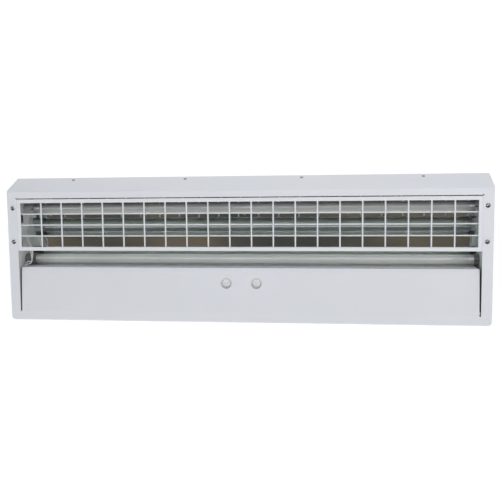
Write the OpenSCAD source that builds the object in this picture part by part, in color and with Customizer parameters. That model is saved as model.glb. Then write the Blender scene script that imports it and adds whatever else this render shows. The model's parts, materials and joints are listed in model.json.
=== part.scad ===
// Wall-hung lamp-type air treatment unit with a mesh air grille.
// Millimetres. X runs along the unit, the front faces -Y, +Z is up.
// The origin is the centre of the wall-fixing pattern, on the wall plane.

/* [Casing] */
// Overall length of the casing
case_w = 1294; // [1240:1:1400]
// Overall height of the casing
case_h = 392; // [384:1:420]
// Overall depth, wall to front face
case_d = 140; // [136:1:160]
// Sheet thickness of the casing
sheet_t = 1.5; // [1:0.1:2]
// Depth of the sloped top
slope_d = 75; // [60:1:80]
// Height of the sloped top
slope_h = 36; // [30:1:40]
// Radius of the lower corners seen from the front
corner_r = 15; // [8:1:15]

/* [Front opening] */
// Half length of the opening in the front face
open_hw = 619; // [616:1:622]
// Top edge of the opening
open_top = 141; // [140:0.5:144]
// Bend line at the foot of the lower panel
bend_z = -168.5; // [-174:0.5:-168]

/* [Mesh guard] */
// Spacing of the upright wires
mesh_x = 58; // [56:0.5:58]
// Spacing of the cross wires
mesh_z = 30.15; // [28:0.05:31]
// Number of mesh columns
mesh_cols = 21; // [15:1:21]
// Number of mesh rows
mesh_rows = 4; // [2:1:4]
// Height of the mesh centre above the origin
mesh_mid = 68; // [66:0.5:69]
// Diameter of the upright wires
wire_v = 4; // [3:0.5:6]
// Diameter of the cross wires
wire_h = 3.5; // [3:0.5:5]
// Width of the flat border round the mesh
border = 10; // [8:0.5:12]

/* [Lamps] */
// Diameter of the lamp glass
lamp_d = 26; // [24:0.5:28]
// Length over the lamp caps
lamp_l = 1200; // [1190:1:1200]
// Distance of the lamp axes behind the front face
lamp_in = 60; // [55:1:62]
// Height of the upper lamp axis
lamp_up = 110; // [108:0.5:113]
// Height of the lower lamp axis
lamp_low = -30; // [-32:0.5:-29]
// How far the lamps sit to the right of the centre
lamp_x = 8; // [6:1:8]

/* [Lower panel] */
// Width of the slits beside the lower panel
slit_w = 4; // [3:0.5:8]
// How far the panel leans in at its top fold
lean = 7.6; // [4:0.2:9]
// Height of the panel's top edge
panel_top = -49; // [-49.5:0.1:-48.5]
// Diameter of the starter holes
starter_hole = 29.5; // [25:0.5:32]
// Distance between the starter holes
starter_gap = 81; // [70:1:120]
// Height of the starter holes
starter_z = -89; // [-95:1:-85]

/* [Fixings] */
// Wall fixing holes, spacing along X
fix_x = 1120; // [1000:10:1160]
// Wall fixing holes, spacing along Z
fix_z = 280; // [240:10:300]
// Wall fixing hole diameter
fix_d = 8.5; // [6:0.5:10]
// Cable entry hole diameter in the back plate
entry_d = 22; // [18:1:24]

/* [Hidden] */
hw = case_w/2;
hh = case_h/2;
yf = -case_d;               // front face plane
t = sheet_t;
yg = yf + t;                // guard sheet front face, behind the casing sheet
ly = yf + lamp_in;          // lamp axis Y
lr = lamp_d/2;
ll = lamp_l/2;
mesh_hw = mesh_x*mesh_cols/2;
mesh_hh = mesh_z*mesh_rows/2;
guard_lo = mesh_mid - mesh_hh - border;
guard_hi = mesh_mid + mesh_hh + border;
brk_x = 621.5;              // inner face of the end brackets
ym = yf + 88;               // flat back plane of the reflectors
gs_x = 630.5;               // guard screws, from the centre
gs_z = 46;                  // guard screws, from the mesh centre
top_x = [-477, -159, 159, 477];   // casing screws along the slope
top_z = 189.5;              // casing screw height on the slope
slope_a = atan(slope_h/slope_d);
top_y = yf + slope_d*(top_z - (hh - slope_h))/slope_h;
panel_hw = open_hw - slit_w;
fold_z = panel_top - 13;    // fold below the panel's top strip
tray_y = yf + 54;           // front face of the gear tray
st_y = yf + lean*(starter_z - bend_z)/(fold_z - bend_z) + 4.3;  // starter end, just behind the panel
entry_x = 430;
entry_z = -118;
bal_x = 255;                // choke centres
bal_z = -128;
$fn = 48;

// ---- helpers ----
function nrm(v) = [-v[1], v[0]]/norm(v);
function off_pt(p, i, s) =
  i == 0 ? p[0] + s*nrm(p[1] - p[0]) :
  i == len(p) - 1 ? p[i] + s*nrm(p[i] - p[i-1]) :
  let (m = nrm(p[i] - p[i-1]) + nrm(p[i+1] - p[i])) p[i] + s*m*2/(m*m);
// closed outline of a folded sheet from one face's corner points
function strip(p, s) = concat(p, [for (i = [len(p)-1:-1:0]) off_pt(p, i, s)]);
function arc(c, r, a, b, n) = [for (i = [0:n]) c + r*[cos(a + (b-a)*i/n), sin(a + (b-a)*i/n)]];

// YZ outline carried along X between x0 and x1
module run_x(x0, x1) { translate([x0, 0, 0]) rotate([90, 0, 90]) linear_extrude(height = x1 - x0) children(); }
// cylinder along X
module rod_x(x0, x1, y, z, r) { translate([x0, y, z]) rotate([0, 90, 0]) cylinder(h = x1 - x0, r = r); }
// cylinder along Y
module rod_y(y0, y1, x, z, r) { translate([x, y1, z]) rotate([90, 0, 0]) cylinder(h = y1 - y0, r = r); }
module box(a, b) { translate(a) cube(b - a); }
module both() { children(); mirror([1, 0, 0]) children(); }

// ---- casing ----
module case_solid(i) {
  // outer form inset by i on every closed side
  r = 4 - i;
  cr = corner_r - i;
  intersection() {
    run_x(-hw + i, hw - i) polygon(concat(
      [[5, -hh + i]],
      arc([yf + 4, -hh + 4], r, 270, 180, 6),
      arc([yf + 4, hh - slope_h - 4*tan((90 - slope_a)/2)], r, 180, 90 + slope_a, 3),
      arc([yf + slope_d + 4*tan(slope_a/2), hh - 4], r, 90 + slope_a, 90, 3),
      [[5, hh - i]]));
    translate([0, 10, 0]) rotate([90, 0, 0]) linear_extrude(height = case_d + 20) union() {
      translate([-hw + i, -hh + corner_r]) square([2*hw - 2*i, 2*hh - corner_r]);
      translate([-hw + corner_r, -hh + i]) square([2*hw - 2*corner_r, corner_r]);
      for (s = [-1, 1]) translate([s*(hw - corner_r), -hh + corner_r]) circle(r = cr);
    }
    translate([0, 0, -hh - 5]) linear_extrude(height = 2*hh + 10) union() {
      translate([-hw + i, yf + 4]) square([2*hw - 2*i, case_d + 5]);
      translate([-hw + 4, yf + i]) square([2*hw - 8, 10]);
      for (s = [-1, 1]) translate([s*(hw - 4), yf + 4]) circle(r = r);
    }
  }
}
module casing() {
  color([0.88, 0.89, 0.92]) difference() {
    union() {
      difference() {
        case_solid(0);
        case_solid(t);
        box([-hw - 1, 0, -hh - 1], [hw + 1, 20, hh + 1]);
        box([-open_hw, yf - 1, bend_z], [open_hw, yf + t + 1, open_top]);
        for (s = [-1, 1]) rod_y(yf - 1, yf + t + 1, s*(open_hw - slit_w/2), bend_z, slit_w/2);
      }
      // lower panel: a tongue of the front sheet between the two slits, leaning in
      run_x(-panel_hw, panel_hw) polygon(strip(
        [[yf + 20, panel_top], [yf + lean + 3, panel_top], [yf + lean, fold_z], [yf, bend_z], [yf, bend_z - 6]], t));
    }
    for (s = [-1, 1]) rod_y(yf - 1, yf + 14, s*starter_gap/2, starter_z, starter_hole/2);
    for (s = [-1, 1]) rod_y(yf - 1, yf + t + 1, s*open_hw, open_top, 2);
    for (sx = [-1, 1], sz = [-1, 1]) rod_y(yf - 1, yf + t + 1, sx*gs_x, mesh_mid + sz*gs_z, 2.9);
    for (x = top_x) translate([x, top_y, top_z]) rotate([slope_a, 0, 0]) translate([0, 0, -6]) cylinder(h = 12, r = 2.9);
  }
}
module back_plate() {
  color([0.80, 0.82, 0.84]) difference() {
    union() {
      box([-hw + 5, -t, -hh + 8], [hw - 5, 0, hh - 4]);
      box([-hw + 14, -t, -hh + 1.9], [hw - 14, 0, -hh + 9]);
      box([-hw + 16, -14, -hh + 1.9], [hw - 16, 0, -hh + 3.4]);
    }
    for (sx = [-1, 1], sz = [-1, 1]) rod_y(-5, 5, sx*fix_x/2, sz*fix_z/2, fix_d/2);
    rod_y(-5, 5, entry_x, entry_z, entry_d/2);
    rod_y(-5, 5, 560, -100, 2.5);
  }
}
// folded rail that carries the casing under its sloped top
rail_sl = (hh - slope_h) - t/cos(slope_a) - (yf)*tan(slope_a);
module casing_rail() {
  zt = hh - t - 0.3;
  za = zt - 0.0;
  ya = (za - rail_sl)/tan(slope_a) + 0.2;
  yb = -102;
  color([0.74, 0.76, 0.78]) difference() {
    run_x(-600, 600) polygon(strip([[yb, rail_sl + (yb - 0.2)*tan(slope_a)], [ya, za], [-t, za], [-t, 158]], -2));
    for (x = top_x) translate([x, top_y, top_z]) rotate([slope_a, 0, 0]) translate([0, 0, -8]) cylinder(h = 14, r = 2.6);
    for (x = [-fix_x/2, fix_x/2]) rod_y(-12, 5, x, fix_z/2, 12);
  }
}
module casing_screws() {
  color([0.25, 0.25, 0.27]) for (x = top_x) translate([x, top_y, top_z]) rotate([slope_a, 0, 0]) {
    difference() {
      intersection() {
        cylinder(h = 2.4, r = 4.6);
        translate([0, 0, -4.6]) sphere(r = 7);
      }
      for (a = [0, 90]) rotate(a) translate([-2.4, -0.5, 1.2]) cube([4.8, 1, 3]);
    }
    translate([0, 0, -10]) cylinder(h = 10, r = 2.4);
  }
}
module rail_nuts() {
  color([0.70, 0.70, 0.68]) for (x = top_x) translate([x, top_y, top_z]) rotate([slope_a, 0, 0])
    difference() {
      translate([0, 0, -t - 2.25 - 4]) cylinder(h = 4, r = 4.6, $fn = 6);
      translate([0, 0, -12]) cylinder(h = 12, r = 2.4);
    }
}

// ---- mesh guard ----
module guard_frame() {
  fx = 640;
  color([0.90, 0.91, 0.93]) difference() {
    union() {
      box([-fx, yg, guard_lo], [fx, yg + t, guard_hi]);
      box([-mesh_hw - 4, yg, guard_lo], [mesh_hw + 4, yg + 14, guard_lo + t]);
      box([-mesh_hw - 4, yg, guard_hi - t], [mesh_hw + 4, yg + 14, guard_hi]);
    }
    box([-mesh_hw, yg - 1, mesh_mid - mesh_hh], [mesh_hw, yg + t + 1, mesh_mid + mesh_hh]);
    for (sx = [-1, 1], sz = [-1, 1]) rod_y(yg - 1, yg + t + 1, sx*gs_x, mesh_mid + sz*gs_z, 2.7);
  }
}
module guard_upright_wires() {
  y = yg + t + wire_v/2 - 0.25;
  color([0.93, 0.94, 0.95]) for (k = [1:mesh_cols-1])
    translate([(k - mesh_cols/2)*mesh_x, y, guard_lo + t + 1]) cylinder(h = guard_hi - guard_lo - 2*t - 2, r = wire_v/2);
}
module guard_cross_wires() {
  y = yg + t + wire_v - 0.5 + wire_h/2 - 0.25;
  color([0.93, 0.94, 0.95]) for (k = [1:mesh_rows-1])
    rod_x(-mesh_hw - 5, mesh_hw + 5, y, mesh_mid + (k - mesh_rows/2)*mesh_z, wire_h/2);
}
module pan_screw(hr, hl, sr, sl) {
  // head outwards along -Y from y = 0, shank inwards
  rotate([90, 0, 0]) difference() {
    union() {
      intersection() {
        cylinder(h = hl, r = hr);
        translate([0, 0, hl - hr*1.55]) sphere(r = hr*1.55);
      }
      translate([0, 0, -sl]) cylinder(h = sl + 0.01, r = sr);
    }
    for (a = [0, 90]) rotate(a + 20) translate([-hr*0.52, -hr*0.1, hl*0.45]) cube([hr*1.04, hr*0.2, hl]);
  }
}
module guard_screws() {
  color([0.62, 0.63, 0.64]) for (sx = [-1, 1], sz = [-1, 1])
    translate([sx*gs_x, yf, mesh_mid + sz*gs_z]) pan_screw(5.8, 3.4, 2.45, 8);
}
module guard_clip_nuts() {
  color([0.55, 0.56, 0.56]) for (sx = [-1, 1], sz = [-1, 1]) translate([sx*gs_x, yg + t, mesh_mid + sz*gs_z])
    difference() {
      union() {
        translate([-7, 0, -8]) cube([14, 1.2, 16]);
        rotate([-90, 0, 0]) cylinder(h = 5, r = 4.6);
      }
      rotate([-90, 0, 0]) translate([0, 0, -1]) cylinder(h = 12, r = 2.45);
    }
}

// ---- reflectors ----
rx = brk_x - 0.5;
module upper_reflector() {
  color([0.72, 0.76, 0.75]) run_x(-rx, rx) polygon(strip(
    [[ym - 36, 146], [ym - 16, 141], [ym, 127], [ym, 83.4]], 1));
}
module centre_reflector() {
  color([0.66, 0.70, 0.69]) run_x(-rx, rx) polygon(strip(
    [[ym, 83], [ym - 26, 46.5], [ym - 13, 33]], 1));
}
module lower_reflector() {
  color([0.72, 0.76, 0.75]) run_x(-rx, rx) polygon(strip(
    [[ym - 13.3, 32.4], [ym, -18], [ym, -46.4]], 1));
}
// white shelf under the lower lamp, from the mirrors to the panel's top edge
module lamp_shelf() {
  color([0.88, 0.89, 0.90]) run_x(-614, 614) polygon(strip(
    [[yf + 21.5, -56], [yf + 21.5, -50.2], [ym + 0.8, -46.8]], -1));
}
module reflector_rivets() {
  color([0.6, 0.62, 0.62]) for (x = [-560, -280, 0, 280, 560]) {
    translate([x, ym, 0]) {
      for (z = [92, -29]) translate([0, 0, z]) rotate([90, 0, 0])
        intersection() { cylinder(h = 1.2, r = 3.2); translate([0, 0, -4.2]) sphere(r = 5.4); }
    }
  }
}

// ---- end brackets ----
module end_bracket() {
  // right-hand one, vertical plate with folded feet
  color([0.84, 0.86, 0.87]) difference() {
    union() {
      box([brk_x, yf + 9, -165], [brk_x + t, -t, 150]);
      box([brk_x, -2*t, -165], [brk_x + 18, -t, 150]);
      box([brk_x, yf + 9, -165], [brk_x + 14, yf + 9 + t, 150]);
    }
    for (z = [lamp_up, lamp_low]) {
      rod_x(brk_x - 1, brk_x + 4, ly + 24, z, 6);
      for (s = [-1, 1]) rod_x(brk_x - 1, brk_x + 4, ly, z + s*9, 1.7);
    }
    rod_x(brk_x - 1, brk_x + 4, -60, -110, 10);
    rod_x(brk_x - 1, brk_x + 4, ly - 11.5, 26, 6.5);
    box([brk_x - 1, ly - 33, 73], [brk_x + 4, ly - 14, 99]);
    box([brk_x - 1, ly - 33, 6], [brk_x + 4, ly - 24, 38]);
  }
}
module right_end_bracket() { end_bracket(); }
module left_end_bracket() { mirror([1, 0, 0]) end_bracket(); }
module bracket_rivets() {
  color([0.6, 0.62, 0.62]) both() for (z = [-120, 0, 120])
    translate([brk_x + 11, -2*t, z]) rotate([90, 0, 0]) cylinder(h = 1.4, r = 3.2);
}

// ---- lamps ----
module lamp_glass(z) {
  color([0.75, 0.80, 0.79]) translate([lamp_x, 0, 0]) difference() {
    rod_x(-ll + 14, ll - 14, ly, z, lr);
    rod_x(-ll + 13, ll - 13, ly, z, lr - 0.9);
  }
}
module lamp_caps(z) {
  color([0.78, 0.78, 0.77]) translate([lamp_x, 0, 0]) both() {
    difference() {
      union() {
        rod_x(ll - 14, ll - 1, ly, z, lr);
        rod_x(ll - 1.01, ll, ly, z, lr - 1);
      }
      rod_x(ll - 15, ll - 2.5, ly, z, lr - 0.7);
    }
    for (s = [-1, 1]) rod_x(ll - 0.5, ll + 7, ly, z + s*6.35, 1.18);
  }
}
module lamp_electrodes(z) {
  // a wire filament on two leads held by a pressed glass foot
  color([0.55, 0.53, 0.50]) translate([lamp_x, 0, 0]) both() {
    for (s = [-1, 1]) rod_x(ll - 46, ll - 20, ly, z + s*5, 0.6);
    translate([ll - 46, ly, z - 5.9]) cylinder(h = 11.8, r = 1.3);
    box([ll - 25, ly - 1.5, z - 6.2], [ll - 13, ly + 1.5, z + 6.2]);
    rod_x(ll - 14, ll - 2.5, ly, z, 7.5);
  }
}
module lamp_rotors(z) {
  color([0.55, 0.56, 0.56]) translate([lamp_x, 0, 0]) both() difference() {
    union() {
      rod_x(ll + 0.9, ll + 9, ly, z, 9.95);
    }
    box([ll, ly - 1.25, z - 7.6], [ll + 7.6, ly + 1.25, z + 7.6]);
  }
}
module upper_lamp_glass() { lamp_glass(lamp_up); }
module lower_lamp_glass() { lamp_glass(lamp_low); }
module upper_lamp_caps() { lamp_caps(lamp_up); }
module lower_lamp_caps() { lamp_caps(lamp_low); }
module upper_lamp_electrodes() { lamp_electrodes(lamp_up); }
module lower_lamp_electrodes() { lamp_electrodes(lamp_low); }
module upper_lamp_rotors() { lamp_rotors(lamp_up); }
module lower_lamp_rotors() { lamp_rotors(lamp_low); }

module lampholder(z, e) {
  // right-hand rotary holder for a lamp ending at X = e, open to the front for the lamp pins
  color([0.50, 0.51, 0.51]) difference() {
    union() {
      rod_x(e + 0.6, brk_x, ly, z, 14.5);
      box([e + 4, ly, z - 14.5], [brk_x, ly + 17, z + 14.5]);
      box([brk_x - 3.5, ly + 17, z - 10], [brk_x, ly + 21, z + 10]);
    }
    rod_x(e, e + 9.2, ly, z, 10);
    box([e, ly - 16, z - 1.7], [e + 8.2, ly, z + 1.7]);
    for (s = [-1, 1]) rod_x(brk_x - 3.2, brk_x + 1, ly, z + s*9, 1.5);
  }
}
module upper_right_lampholder() { lampholder(lamp_up, ll + lamp_x); }
module lower_right_lampholder() { lampholder(lamp_low, ll + lamp_x); }
module upper_left_lampholder() { mirror([1, 0, 0]) lampholder(lamp_up, ll - lamp_x); }
module lower_left_lampholder() { mirror([1, 0, 0]) lampholder(lamp_low, ll - lamp_x); }
module lampholder_screws() {
  color([0.6, 0.6, 0.6]) both() for (z = [lamp_up, lamp_low], s = [-1, 1]) {
    rod_x(brk_x - 3, brk_x + t + 0.01, ly, z + s*9, 1.5);
    rod_x(brk_x + t, brk_x + t + 1.8, ly, z + s*9, 3);
  }
}

// ---- gear compartment behind the lower panel ----
module gear_tray() {
  color([0.84, 0.86, 0.87]) difference() {
    run_x(-616, 616) polygon(strip([[yf + 24, -52.4], [tray_y, -52.4], [tray_y, -160], [yf + 24, -160]], 1));
    for (s = [-1, 1], k = [-1, 1]) rod_y(tray_y - 2, tray_y + 3, s*starter_gap/2 + k*18.5, starter_z, 1.6);
    for (s = [-1, 1]) rod_y(tray_y - 2, tray_y + 3, s*120, -130, 9);
  }
}
module gear_tray_rivets() {
  color([0.6, 0.62, 0.62]) for (x = [-560, -280, 0, 280, 560])
    translate([x, yf + 30, -52.4]) mirror([0, 0, 1]) intersection() { cylinder(h = 1.2, r = 3.2); translate([0, 0, -4.2]) sphere(r = 5.4); }
}
// twist-lock starter: a closed can with two headed pins at the back
module starter(s) {
  color([0.93, 0.93, 0.91]) translate([s*starter_gap/2, st_y, starter_z]) rotate([-90, 0, 0]) {
    difference() {
      union() {
        translate([0, 0, 1]) cylinder(h = 35, r = 10.75);
        cylinder(h = 1.01, r = 9.75);
        translate([0, 0, 28]) cylinder(h = 8, r = 11.5);
      }
      translate([0, 0, 1.2]) rotate([180, 0, 0]) cylinder(h = 3, r = 6.5);
    }
    translate([-6, -0.9, -0.4]) cube([12, 1.8, 2]);
  }
}
module starter_pins(s) {
  color([0.78, 0.70, 0.45]) translate([s*starter_gap/2, st_y + 36, starter_z]) rotate([-90, 0, 0])
    for (k = [-1, 1]) translate([0, k*6.35, 0]) { cylinder(h = 4.5, r = 1.5); translate([0, 0, 2.6]) cylinder(h = 1.9, r = 2.4); }
}
module left_starter() { starter(-1); }
module right_starter() { starter(1); }
module left_starter_pins() { starter_pins(-1); }
module right_starter_pins() { starter_pins(1); }
module starter_holder(s) {
  color([0.90, 0.90, 0.88]) translate([s*starter_gap/2, 0, starter_z]) difference() {
    union() {
      rod_y(st_y + 36.3, tray_y, 0, 0, 14.5);
      box([-23, tray_y - 4, -7], [23, tray_y, 7]);
    }
    // ring track that the two pins turn in
    difference() {
      rod_y(st_y + 36, st_y + 41.2, 0, 0, 9.2);
      rod_y(st_y + 35, st_y + 42, 0, 0, 3.5);
    }
    for (k = [-1, 1]) rod_y(tray_y - 5, tray_y + 1, k*18.5, 0, 1.6);
  }
}
// white collar round the starter, right behind the hole in the panel
module starter_collar(s) {
  color([0.93, 0.93, 0.92]) translate([s*starter_gap/2, 0, starter_z]) difference() {
    union() {
      rod_y(st_y + 0.6, st_y + 2.6, 0, 0, 17);
      rod_y(st_y + 0.6, st_y + 36.3, 0, 0, 14);
    }
    rod_y(st_y, st_y + 2.7, 0, 0, 11.2);
    rod_y(st_y + 2.6, st_y + 37, 0, 0, 12.3);
  }
}
module left_starter_collar() { starter_collar(-1); }
module right_starter_collar() { starter_collar(1); }
module left_starter_holder() { starter_holder(-1); }
module right_starter_holder() { starter_holder(1); }
module starter_holder_screws() {
  color([0.6, 0.6, 0.6]) for (s = [-1, 1], k = [-1, 1]) translate([s*starter_gap/2 + k*18.5, tray_y - 4, starter_z]) {
    rod_y(0, 6, 0, 0, 1.6);
    rod_y(-1.6, 0, 0, 0, 3);
  }
}
// iron-cored choke on a folded foot, one per lamp
module choke(x) {
  color([0.78, 0.78, 0.76]) difference() {
    union() {
      box([x - 55, -t - 30, bal_z - 20.5], [x + 55, -t - 1.2, bal_z + 20.5]);
      box([x - 75, -t - 1.2, bal_z - 20.5], [x + 75, -t, bal_z + 20.5]);
      box([x - 68, -t - 22, bal_z - 15], [x + 68, -t - 8, bal_z + 15]);
    }
    for (s = [-1, 1]) rod_y(-10, 1, x + s*71.5, bal_z, 2.2);
    for (s = [-1, 1], k = [-1, 1]) box([x + s*68 - 5, -t - 19, bal_z + k*8 - 3], [x + s*68 + 5, -t - 12, bal_z + k*8 + 3]);
  }
}
module left_choke() { choke(-bal_x); }
module right_choke() { choke(bal_x); }
module choke_screws() {
  color([0.6, 0.6, 0.6]) for (c = [-bal_x, bal_x], s = [-1, 1])
    translate([c + s*71.5, -t - 1.2, bal_z]) pan_screw(3.4, 2.2, 2.15, 1.2);
}
module terminal_block() {
  color([0.93, 0.93, 0.90]) difference() {
    box([-30, -t - 20, bal_z - 12], [30, -t, bal_z + 12]);
    for (k = [0:4]) {
      rod_y(-t - 21, -t - 12, -24 + k*12, bal_z + 6, 3);
      rod_y(-t - 21, -t - 12, -24 + k*12, bal_z - 6, 3);
      translate([-24 + k*12, -t - 6, bal_z - 13]) cylinder(h = 8, r = 2.4);
      translate([-24 + k*12, -t - 6, bal_z + 5]) cylinder(h = 8, r = 2.4);
    }
    for (k = [0:3]) box([-18.5 + k*12, -t - 21, bal_z - 13], [-17.5 + k*12, -t - 14, bal_z + 13]);
  }
}
module terminal_screws() {
  color([0.75, 0.68, 0.45]) for (k = [0:4], s = [-1, 1]) difference() {
    rod_y(-t - 16, -t - 12, -24 + k*12, bal_z + s*6, 2.6);
    box([-27 + k*12, -t - 17, bal_z + s*6 - 0.4], [-21 + k*12, -t - 15, bal_z + s*6 + 0.4]);
  }
}
// a wire through corner points: one eight-sided tube with mitred corners
function unit(v) = v/norm(v);
function carry(ring, d, c, m) = [for (q = ring) q + d*(((c - q)*m)/(d*m))];
function rings(p, i, ring) = i == len(p) - 1 ? [ring] :
  let (d = unit(p[i+1] - p[i]), m = i + 2 < len(p) ? d + unit(p[i+2] - p[i+1]) : d)
  concat([ring], rings(p, i + 1, carry(ring, d, p[i+1], m)));
module wire(p, r) {
  n = 8;
  d = unit(p[1] - p[0]);
  a = unit(cross(d, abs(d[2]) < 0.9 ? [0, 0, 1] : [1, 0, 0]));
  b = cross(d, a);
  rr = rings(p, 0, [for (k = [0:n-1]) p[0] + r*(cos(360*k/n)*a + sin(360*k/n)*b)]);
  polyhedron(points = [for (g = rr, q = g) q],
    faces = concat([[for (k = [0:n-1]) k]],
      [for (i = [0:len(rr)-2], k = [0:n-1]) [i*n + k, (i+1)*n + k, (i+1)*n + (k+1)%n, i*n + (k+1)%n]],
      [[for (k = [n-1:-1:0]) (len(rr)-1)*n + k]]));
}
module lower_holder_lead() {
  // lower holder's lead through the end bracket, down the end space and back in to the choke
  wire([[brk_x - 6, ly + 24, lamp_low], [630, ly + 24, lamp_low], [632, ly + 24, lamp_low - 6],
        [630, -62, -104], [626, -64, -113], [612, -64, -114], [560, -34, bal_z - 7], [bal_x + 68, -t - 15.5, bal_z - 8]], 1.6);
}
module choke_lead() {
  wire([[bal_x - 68, -t - 15.5, bal_z + 8], [120, -20, bal_z + 12], [60, -20, bal_z + 26], [24, -18, bal_z + 26], [24, -t - 6, bal_z + 22], [24, -t - 6, bal_z + 12]], 1.6);
}
module right_wiring() {
  color([0.92, 0.92, 0.90]) {
    wire([[brk_x - 6, ly + 24, lamp_up], [632, ly + 24, lamp_up], [636, ly + 24, lamp_up - 6],
          [636, -50, -100], [632, -58, -110], [612, -60, -110], [560, -30, bal_z + 5], [bal_x + 68, -t - 15.5, bal_z + 8]], 1.6);
    lower_holder_lead();
    choke_lead();
  }
}
module left_wiring() {
  // the upper holder's pair crosses in front of the lower holder
  color([0.92, 0.92, 0.90]) mirror([1, 0, 0]) {
    wire([[brk_x - 6, ly + 24, lamp_up + 2.5], [634, ly + 24, lamp_up + 2.5], [640, ly + 22, lamp_up - 6], [640, -84, 58], [636, -88, 36], [629, -89, 28.5],
          [615, -90.5, 27], [607, -95, 20], [602, -100.5, 6], [600, -103, -8], [598.3, -103.4, -22], [597.2, -103.4, -33.5], [599, -103.5, -36.8],
          [603, -104, -36.8], [609, -104, -35.6], [617, -104.4, -45.5], [618.7, -104.4, -55], [618.7, -104.4, -163], [616, -96, -172],
          [540, -60, -178], [400, -24, -168], [200, -14, -168], [30, -10, -165], [12, -t - 6, -158], [12, -t - 6, bal_z - 12]], 1.5);
    wire([[brk_x - 6, ly + 24, lamp_up - 2.5], [630, ly + 24, lamp_up - 2.5], [635, ly + 22, lamp_up - 10], [635, -88, 52], [633, -92, 31], [627, -93.5, 25],
          [614, -94.8, 22.5], [602, -99.5, 14], [594.5, -105, 3], [592.6, -107, -8], [593.6, -107.6, -21], [596, -107.8, -33], [599, -108, -40],
          [605, -108, -42.5], [614.5, -108.4, -47], [618.7, -108.6, -57], [618.7, -108.6, -165], [615, -100, -178],
          [540, -64, -184], [400, -28, -175], [200, -18, -174], [40, -12, -171], [24, -t - 6, -162], [24, -t - 6, bal_z - 12]], 1.5);
    lower_holder_lead();
    choke_lead();
  }
}
module centre_wiring() {
  // starter leads from the holders through the tray to the terminals
  color([0.92, 0.92, 0.90]) both() {
    wire([[starter_gap/2 + 8, tray_y - 6, starter_z - 14.2], [starter_gap/2 + 22, tray_y - 7, starter_z - 19], [starter_gap/2 + 40, tray_y - 8, starter_z - 22], [120, tray_y - 10, -122],
          [120, tray_y - 4, -130], [120, tray_y + 12, -130], [90, -40, bal_z + 20], [30, -22, bal_z + 30], [12, -16, bal_z + 28], [12, -t - 6, bal_z + 22], [12, -t - 6, bal_z + 12]], 1.4);
  }
}
module cable_grommet() {
  color([0.12, 0.12, 0.12]) translate([entry_x, 0, entry_z]) rotate([90, 0, 0]) difference() {
    union() {
      translate([0, 0, 0.0]) cylinder(h = t, r = entry_d/2);
      translate([0, 0, t]) cylinder(h = 3, r = entry_d/2 + 4);
    }
    translate([0, 0, -1]) cylinder(h = 10, r = entry_d/2 - 4.5);
  }
}
module earth_stud() {
  color([0.78, 0.66, 0.35]) rod_y(-16, -0.2, 560, -100, 2.4);
}
module earth_nut() {
  color([0.78, 0.66, 0.35]) translate([560, -t, -100]) rotate([90, 0, 0]) difference() {
    cylinder(h = 4, r = 5, $fn = 6);
    translate([0, 0, -1]) cylinder(h = 8, r = 2.4);
  }
}

casing();
back_plate();
casing_rail();
casing_screws();
rail_nuts();
guard_frame();
guard_upright_wires();
guard_cross_wires();
guard_screws();
guard_clip_nuts();
upper_reflector();
centre_reflector();
lower_reflector();
lamp_shelf();
reflector_rivets();
left_end_bracket();
right_end_bracket();
bracket_rivets();
upper_lamp_glass();
upper_lamp_caps();
upper_lamp_electrodes();
upper_lamp_rotors();
lower_lamp_glass();
lower_lamp_caps();
lower_lamp_electrodes();
lower_lamp_rotors();
upper_left_lampholder();
upper_right_lampholder();
lower_left_lampholder();
lower_right_lampholder();
lampholder_screws();
gear_tray();
gear_tray_rivets();
left_starter();
left_starter_pins();
right_starter();
right_starter_pins();
left_starter_collar();
right_starter_collar();
left_starter_holder();
right_starter_holder();
starter_holder_screws();
left_choke();
right_choke();
choke_screws();
terminal_block();
terminal_screws();
left_wiring();
right_wiring();
centre_wiring();
cable_grommet();
earth_stud();
earth_nut();
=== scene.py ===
import bpy
import json
import math
from mathutils import Matrix, Vector

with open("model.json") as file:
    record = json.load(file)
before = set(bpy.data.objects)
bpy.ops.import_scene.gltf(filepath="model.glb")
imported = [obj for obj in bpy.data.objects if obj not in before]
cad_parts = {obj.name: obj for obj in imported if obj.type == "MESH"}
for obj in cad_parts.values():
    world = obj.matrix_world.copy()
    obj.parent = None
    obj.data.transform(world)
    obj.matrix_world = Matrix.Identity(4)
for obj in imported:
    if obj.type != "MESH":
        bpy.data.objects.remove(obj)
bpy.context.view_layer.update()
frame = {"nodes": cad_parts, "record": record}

for name in ("Cube", "Light", "Camera"):
    o = bpy.data.objects.get(name)
    if o is not None and name not in frame["nodes"]:
        bpy.data.objects.remove(o)

scene = bpy.context.scene
scene.view_settings.view_transform = "Standard"
scene.view_settings.look = "None"

N = frame["nodes"]

# ------------------------------------------------------------------ camera
cam_data = bpy.data.cameras.new("camera")
cam_data.sensor_width = 36.0
cam_data.lens = 50.56
cam_data.clip_end = 60
cam = bpy.data.objects.new("camera", cam_data)
scene.collection.objects.link(cam)
CAM_R = ((0.991824, 0.010989, 0.127137), (0.001529, 0.995190, -0.097950), (-0.127602, 0.097343, 0.987037))
x_ax = Vector((CAM_R[0][0], CAM_R[0][2], -CAM_R[0][1]))
y_ax = -Vector((CAM_R[1][0], CAM_R[1][2], -CAM_R[1][1]))
z_ax = -Vector((CAM_R[2][0], CAM_R[2][2], -CAM_R[2][1]))
m = Matrix((
    (x_ax[0], y_ax[0], z_ax[0], 0.26199),
    (x_ax[1], y_ax[1], z_ax[1], -1.97076),
    (x_ax[2], y_ax[2], z_ax[2], 0.18110),
    (0, 0, 0, 1)))
cam.matrix_world = m
scene.camera = cam

# ------------------------------------------------------------------ materials
def node_mat(name):
    mt = bpy.data.materials.new(name)
    mt.use_nodes = True
    nt = mt.node_tree
    bsdf = nt.nodes["Principled BSDF"]
    return mt, nt, bsdf


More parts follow.
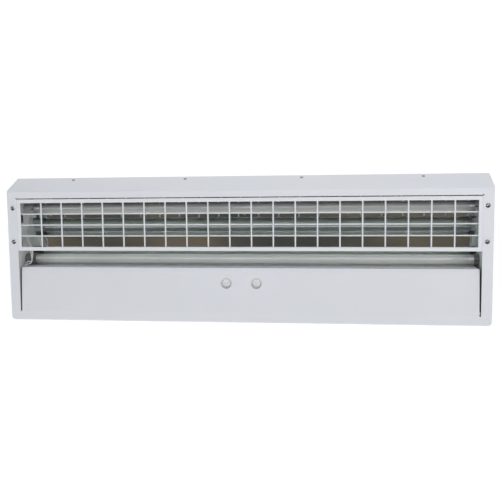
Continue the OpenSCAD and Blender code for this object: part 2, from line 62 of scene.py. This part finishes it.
def ramp(nt, fac, a, b, lo=0.35, hi=0.65):
    r = nt.nodes.new("ShaderNodeValToRGB")
    r.color_ramp.elements[0].position = lo
    r.color_ramp.elements[1].position = hi
    r.color_ramp.elements[0].color = (*a, 1) if len(a) == 3 else a
    r.color_ramp.elements[1].color = (*b, 1) if len(b) == 3 else b
    nt.links.new(fac, r.inputs["Fac"])
    return r.outputs["Color"]


def coords(nt, scale=(1, 1, 1)):
    tc = nt.nodes.new("ShaderNodeTexCoord")
    mp = nt.nodes.new("ShaderNodeMapping")
    mp.inputs["Scale"].default_value = scale
    nt.links.new(tc.outputs["Object"], mp.inputs["Vector"])
    return mp.outputs["Vector"]


def noise(nt, vec, scale, detail=3.0, rough=0.5):
    n = nt.nodes.new("ShaderNodeTexNoise")
    n.inputs["Scale"].default_value = scale
    n.inputs["Detail"].default_value = detail
    n.inputs["Roughness"].default_value = rough
    nt.links.new(vec, n.inputs["Vector"])
    return n.outputs["Fac"]


def mult(nt, a, k, b=0.0):
    q = nt.nodes.new("ShaderNodeMath")
    q.operation = "MULTIPLY_ADD"
    nt.links.new(a, q.inputs[0])
    q.inputs[1].default_value = k
    q.inputs[2].default_value = b
    return q.outputs[0]


def bump(nt, height, strength, dist, normal=None):
    bp = nt.nodes.new("ShaderNodeBump")
    bp.inputs["Strength"].default_value = strength
    bp.inputs["Distance"].default_value = dist
    nt.links.new(height, bp.inputs["Height"])
    if normal is not None:
        nt.links.new(normal, bp.inputs["Normal"])
    return bp.outputs["Normal"]


def bevel(nt, radius, samples=4):
    b = nt.nodes.new("ShaderNodeBevel")
    b.samples = samples
    b.inputs["Radius"].default_value = radius
    return b.outputs["Normal"]


def paint(name, col, rough=0.42, spec=0.5, peel=0.12, edge=0.0006, tone=0.03, coat=0.0):
    """Powder coat: orange peel, slight tone drift, softened sheet edges."""
    mt, nt, bs = node_mat(name)
    v = coords(nt)
    big = noise(nt, v, 2.2, 4.0, 0.55)
    lo = tuple(c * (1 - tone) for c in col)
    hi = tuple(min(1.0, c * (1 + tone * 0.6)) for c in col)
    nt.links.new(ramp(nt, big, lo, hi, 0.3, 0.7), bs.inputs["Base Color"])
    fine = noise(nt, v, 420.0, 2.0, 0.5)
    mid = noise(nt, v, 9.0, 3.0, 0.6)
    nt.links.new(mult(nt, mid, 0.12, rough - 0.06), bs.inputs["Roughness"])
    nrm = bevel(nt, edge) if edge else None
    nt.links.new(bump(nt, fine, peel, 0.0004, nrm), bs.inputs["Normal"])
    bs.inputs["Specular IOR Level"].default_value = spec
    bs.inputs["Coat Weight"].default_value = coat
    return mt


def metal(name, col, rough, grain=(1, 1, 1), gscale=300.0, gstr=0.15, edge=0.0, spread=0.1, wave=0.0):
    mt, nt, bs = node_mat(name)
    v = coords(nt, grain)
    g = noise(nt, v, gscale, 3.0, 0.6)
    nt.links.new(ramp(nt, g, tuple(c * 0.93 for c in col), tuple(min(1, c * 1.05) for c in col), 0.3, 0.7), bs.inputs["Base Color"])
    nt.links.new(mult(nt, g, spread, max(0.01, rough - spread / 2)), bs.inputs["Roughness"])
    bs.inputs["Metallic"].default_value = 1.0
    nrm = bevel(nt, edge) if edge else None
    n1 = bump(nt, g, gstr, 0.0002, nrm)
    if wave:
        w = noise(nt, coords(nt, (0.6, 1, 3.0)), 6.0, 1.0, 0.4)
        n1 = bump(nt, w, wave, 0.002, n1)
    nt.links.new(n1, bs.inputs["Normal"])
    return mt


def plastic(name, col, rough=0.35, tone=0.05, tex=0.08, edge=0.0003, sss=0.0):
    mt, nt, bs = node_mat(name)
    v = coords(nt)
    n = noise(nt, v, 60.0, 4.0, 0.6)
    nt.links.new(ramp(nt, n, tuple(c * (1 - tone) for c in col), tuple(min(1, c * (1 + tone)) for c in col), 0.3, 0.7), bs.inputs["Base Color"])
    nt.links.new(mult(nt, n, 0.15, rough - 0.07), bs.inputs["Roughness"])
    nt.links.new(bump(nt, noise(nt, v, 900.0, 2.0), tex, 0.0002, bevel(nt, edge) if edge else None), bs.inputs["Normal"])
    return mt


PRINT_Z = (-0.0290, -0.0252)
M = {}
M["white_paint"] = paint("white_paint", (0.80, 0.82, 0.87))
M["guard_paint"] = paint("guard_paint", (0.84, 0.86, 0.90), rough=0.36, peel=0.05, edge=0.0004, tone=0.02)
M["inner_paint"] = paint("inner_paint", (0.70, 0.73, 0.72), rough=0.45, tone=0.05)
M["galvanised"] = metal("galvanised", (0.62, 0.64, 0.66), 0.42, (1, 1, 1), 45.0, 0.05, 0.0004, 0.25)
M["zinc_fixings"] = metal("zinc_fixings", (0.62, 0.62, 0.58), 0.35, (1, 1, 1), 400.0, 0.1, 0.0002)
M["steel_screws"] = metal("steel_screws", (0.34, 0.35, 0.38), 0.22, (1, 1, 1), 500.0, 0.12, 0.0003)
M["dark_screws"] = metal("dark_screws", (0.40, 0.40, 0.41), 0.5, (1, 1, 1), 500.0, 0.12, 0.0003)
M["mirror_sheet"] = metal("mirror_sheet", (0.78, 0.82, 0.80), 0.05, (0.02, 1, 1), 700.0, 0.003, 0.0, 0.03, wave=0.005)
M["aluminium_rivets"] = metal("aluminium_rivets", (0.70, 0.71, 0.72), 0.35, (1, 1, 1), 500.0, 0.1, 0.0002)
M["lamp_cap"] = metal("lamp_cap", (0.58, 0.60, 0.60), 0.5, (1, 1, 1), 300.0, 0.1, 0.0003)
M["electrode"] = metal("electrode", (0.45, 0.43, 0.40), 0.4)
M["brass_parts"] = metal("brass_parts", (0.76, 0.60, 0.30), 0.3, (1, 1, 1), 400.0, 0.1, 0.0002)
# dark grey holder plastic on the lower lampholders; its darkness against the upper pair's lighter copy is painted
# shade
M["holder_plastic"] = plastic("holder_plastic", (0.16, 0.17, 0.17))
M["starter_can"] = plastic("starter_can", (0.90, 0.91, 0.91), 0.3, 0.02)
M["starter_base"] = plastic("starter_base", (0.88, 0.90, 0.90), 0.4, 0.02)
M["choke_case"] = paint("choke_case", (0.70, 0.71, 0.70), rough=0.35)
M["terminal_nylon"] = plastic("terminal_nylon", (0.78, 0.77, 0.70), 0.45)
M["wire_sleeve"] = plastic("wire_sleeve", (0.84, 0.84, 0.82), 0.35, 0.02)
# painted light: a lighter grey copy of the holder plastic for the upper lampholders, which are the same part as the
# lower ones
M["holder_upper_lit_copy"] = plastic("holder_upper_lit_copy", (0.38, 0.40, 0.40))
# painted light: the lamp shelf is white paint, given a brighter near-white tone than the casing paint to stand in for
# light that the tube and guard keep off it
M["shelf_paint_painted_light"] = paint("shelf_paint_painted_light", (0.93, 0.94, 0.95), rough=0.6, spec=0.2, peel=0.05, edge=0.0003, tone=0.02)
M["black_rubber"] = plastic("black_rubber", (0.03, 0.03, 0.03), 0.6)

# lamp glass: white powder inside a glossy clear tube, greyer towards the ends, with a faint row of plain green dashes
mt, nt, bs = node_mat("lamp_glass")
v = coords(nt)
sep = nt.nodes.new("ShaderNodeSeparateXYZ")
nt.links.new(v, sep.inputs[0])


def calc(op, a, b=None):
    q = nt.nodes.new("ShaderNodeMath")
    q.operation = op
    for k, x in enumerate((a, b)):
        if x is None:
            continue
        if isinstance(x, (int, float)):
            q.inputs[k].default_value = x
        else:
            nt.links.new(x, q.inputs[k])
    return q.outputs[0]


def blend(fac, a, col):
    mx = nt.nodes.new("ShaderNodeMix")
    mx.data_type = "RGBA"
    nt.links.new(fac, mx.inputs[0])
    nt.links.new(a, mx.inputs[6])
    mx.inputs[7].default_value = (*col, 1)
    return mx.outputs[2]


along = calc("SUBTRACT", sep.outputs["X"], 0.008)
n1 = noise(nt, coords(nt, (0.3, 1, 1)), 30.0, 3.0)
base = ramp(nt, n1, (0.66, 0.69, 0.67), (0.73, 0.76, 0.74), 0.3, 0.7)
ends = nt.nodes.new("ShaderNodeMapRange")
ends.inputs["From Min"].default_value = 0.540
ends.inputs["From Max"].default_value = 0.586
nt.links.new(calc("ABSOLUTE", along), ends.inputs["Value"])
base = blend(calc("MULTIPLY", ends.outputs["Result"], 0.65), base, (0.36, 0.38, 0.37))
LAMP_PRINT = (0.553, 0.584)
dash = calc("GREATER_THAN", calc("FRACT", calc("MULTIPLY", sep.outputs["X"], 230.0)), 0.35)
band = calc("MULTIPLY", calc("GREATER_THAN", sep.outputs["X"], LAMP_PRINT[0]), calc("LESS_THAN", sep.outputs["X"], LAMP_PRINT[1]))
high = calc("MULTIPLY", calc("GREATER_THAN", sep.outputs["Z"], PRINT_Z[0]), calc("LESS_THAN", sep.outputs["Z"], PRINT_Z[1]))
base = blend(calc("MULTIPLY", calc("MULTIPLY", band, high), calc("MULTIPLY", dash, 0.55)), base, (0.22, 0.36, 0.27))
nt.links.new(base, bs.inputs["Base Color"])
nt.links.new(mult(nt, n1, 0.1, 0.28), bs.inputs["Roughness"])
bs.inputs["Coat Weight"].default_value = 0.9
bs.inputs["Coat Roughness"].default_value = 0.05
bs.inputs["IOR"].default_value = 1.5
M["lamp_glass"] = mt

# painted shade: the upper lamp stands deeper behind its guard, so its glass is a copy of the lamp glass with the ramp
# colours darkened to 70 % to stand in for that shade
shaded_glass_copy = mt.copy()
shaded_glass_copy.name = "lamp_glass_upper_painted_shade"
for q in shaded_glass_copy.node_tree.nodes:
    if q.bl_idname == "ShaderNodeValToRGB":
        for e in q.color_ramp.elements:
            e.color = (e.color[0] * 0.70, e.color[1] * 0.70, e.color[2] * 0.70, 1)

slot_of = {s["node"]: s["material_slot"] for s in frame["record"]["subparts"]}
for n, o in N.items():
    mt = M[slot_of[n]]
    # painted light and shade: the upper lampholders take the lighter copy of the holder plastic
    if n in ("upper_left_lampholder", "upper_right_lampholder"):
        mt = M["holder_upper_lit_copy"]
    # painted shade: the upper lamp takes the darkened copy of the lamp glass
    if n == "upper_lamp_glass":
        mt = shaded_glass_copy
    # painted light: the lamp shelf takes the brightened shelf paint
    if n == "lamp_shelf":
        mt = M["shelf_paint_painted_light"]
    if not o.material_slots:
        o.data.materials.append(mt)
    for sl in o.material_slots:
        sl.material = mt

# ------------------------------------------------------------------ stage
def plane(name, verts, mat):
    me = bpy.data.meshes.new(name)
    me.from_pydata(verts, [], [(0, 1, 2, 3)])
    o = bpy.data.objects.new(name, me)
    me.materials.append(mat)
    scene.collection.objects.link(o)
    return o


fm, nt, bs = node_mat("floor_white")
bs.inputs["Base Color"].default_value = (0.93, 0.93, 0.93, 1)
bs.inputs["Roughness"].default_value = 0.9
bs.inputs["Emission Color"].default_value = (1, 1, 1, 1)
bs.inputs["Emission Strength"].default_value = 0.72
floor = plane("floor", [(-16, -16, -0.9), (16, -16, -0.9), (16, 16, -0.9), (-16, 16, -0.9)], fm)

# painted reflection: dim glowing brownish cards that only glossy rays see, so the mirror sheets reflect a dark room
dm, nt, bs = node_mat("painted_reflection_card")
bs.inputs["Base Color"].default_value = (0.02, 0.02, 0.02, 1)
bs.inputs["Roughness"].default_value = 1.0
bs.inputs["Specular IOR Level"].default_value = 0.0
n = noise(nt, coords(nt, (1.2, 1, 0.5)), 1.6, 2.0)
nt.links.new(ramp(nt, n, (0.050, 0.050, 0.044), (0.140, 0.110, 0.080), 0.35, 0.65), bs.inputs["Emission Color"])
bs.inputs["Emission Strength"].default_value = 1.0
card = plane("painted_reflection_card", [(-3.4, -1.5, -0.89), (3.4, -1.5, -0.89), (3.4, -1.5, 0.30), (-3.4, -1.5, 0.30)], dm)
low_card = plane("painted_floor_reflection_card", [(-3.4, -1.5, -0.885), (3.4, -1.5, -0.885), (3.4, -0.45, -0.885), (-3.4, -0.45, -0.885)], dm)
# painted highlight: a glowing strip that only glossy rays see, putting a bright line on the tube tops and mirror
# folds without lighting anything
gm, nt, bs = node_mat("bright_strip")
bs.inputs["Base Color"].default_value = (0.5, 0.5, 0.5, 1)
bs.inputs["Emission Color"].default_value = (1, 1, 1, 1)
bs.inputs["Emission Strength"].default_value = 7.0
strip_card = plane("bright_strip_card", [(-3.2, -1.5, 0.33), (3.2, -1.5, 0.33), (3.2, -1.5, 0.47), (-3.2, -1.5, 0.47)], gm)
# the painted reflection cards and the painted highlight strip show only in glossy rays
for c in (card, low_card, strip_card):
    c.visible_camera = False
    c.visible_diffuse = False
    c.visible_shadow = False
    c.visible_transmission = False

world = bpy.data.worlds.new("world")
scene.world = world
world.use_nodes = True
wn = world.node_tree
bg = wn.nodes["Background"]
bg.inputs["Color"].default_value = (0.96, 0.98, 1.0, 1)
bg.inputs["Strength"].default_value = 0.30
bg2 = wn.nodes.new("ShaderNodeBackground")
bg2.inputs["Color"].default_value = (1, 1, 1, 1)
bg2.inputs["Strength"].default_value = 1.05
lp = wn.nodes.new("ShaderNodeLightPath")
ms = wn.nodes.new("ShaderNodeMixShader")
wn.links.new(lp.outputs["Is Camera Ray"], ms.inputs[0])
wn.links.new(bg.outputs[0], ms.inputs[1])
wn.links.new(bg2.outputs[0], ms.inputs[2])
wn.links.new(ms.outputs[0], wn.nodes["World Output"].inputs["Surface"])


def area(name, loc, aim, size, power, col=(1, 1, 1)):
    ld = bpy.data.lights.new(name, "AREA")
    ld.shape = "RECTANGLE"
    ld.size, ld.size_y = size
    ld.energy = power
    ld.color = col
    o = bpy.data.objects.new(name, ld)
    scene.collection.objects.link(o)
    o.location = loc
    d = Vector(aim) - Vector(loc)
    o.rotation_euler = d.to_track_quat("-Z", "Y").to_euler()
    return o


area("key", (1.2, -2.4, 2.1), (0.3, 0, 0), (2.0, 1.2), 14, (1.0, 0.99, 0.97))
area("front", (0.9, -3.4, 0.25), (0.2, 0, 0), (1.8, 0.7), 3.5, (1.0, 1.0, 1.0))
area("top", (0, 0.2, 2.2), (0, -0.1, 0.1), (3.0, 1.6), 27)
